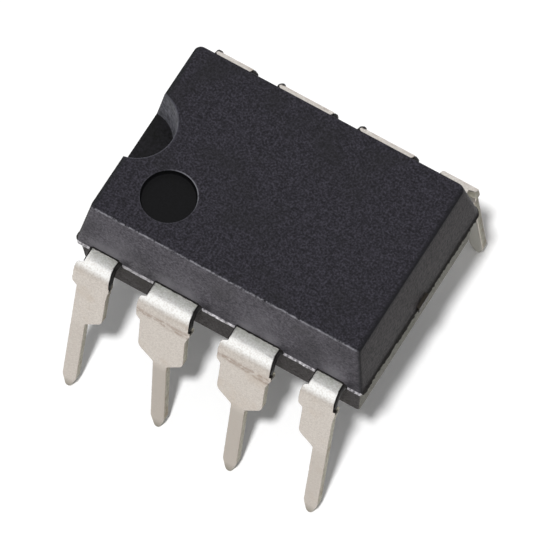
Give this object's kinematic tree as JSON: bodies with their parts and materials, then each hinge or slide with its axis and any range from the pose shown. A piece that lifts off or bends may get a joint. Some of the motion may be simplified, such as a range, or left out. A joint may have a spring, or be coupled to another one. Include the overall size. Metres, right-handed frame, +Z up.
{
  "type": "dual in-line integrated circuit",
  "caption": "Black moulded dual in-line integrated circuit with an end notch, a round dimple and two rows of bent tin-plated leads, die and bond wires inside",
  "frame": {"origin": "on the standing surface at the tips of the leads, midway between the outer edges of the two rows and halfway along the body", "axes": "+Z up out of the top face, +X along the body away from the notched end, -Y towards the row that holds lead 1"},
  "size_m": [0.0091, 0.0096, 0.0074],
  "materials": {
    "mould_compound": "fine matt, as moulded",
    "tinned_lead": "satin tin plate",
    "copper_alloy": "bare copper alloy strip",
    "silver_epoxy": "silver-filled adhesive",
    "silicon": "polished",
    "gold_wire": "bright drawn gold"
  },
  "bodies": {
    "root": {"mould_body": "mould_compound", "lead_1": "tinned_lead", "lead_2": "tinned_lead", "lead_3": "tinned_lead", "lead_4": "tinned_lead", "lead_5": "tinned_lead", "lead_6": "tinned_lead", "lead_7": "tinned_lead", "lead_8": "tinned_lead", "die_paddle": "copper_alloy", "die_attach": "silver_epoxy", "silicon_die": "silicon", "bond_wire_1": "gold_wire", "bond_wire_2": "gold_wire", "bond_wire_3": "gold_wire", "bond_wire_4": "gold_wire", "bond_wire_5": "gold_wire", "bond_wire_6": "gold_wire", "bond_wire_7": "gold_wire", "bond_wire_8": "gold_wire"}
  },
  "joints": []
}
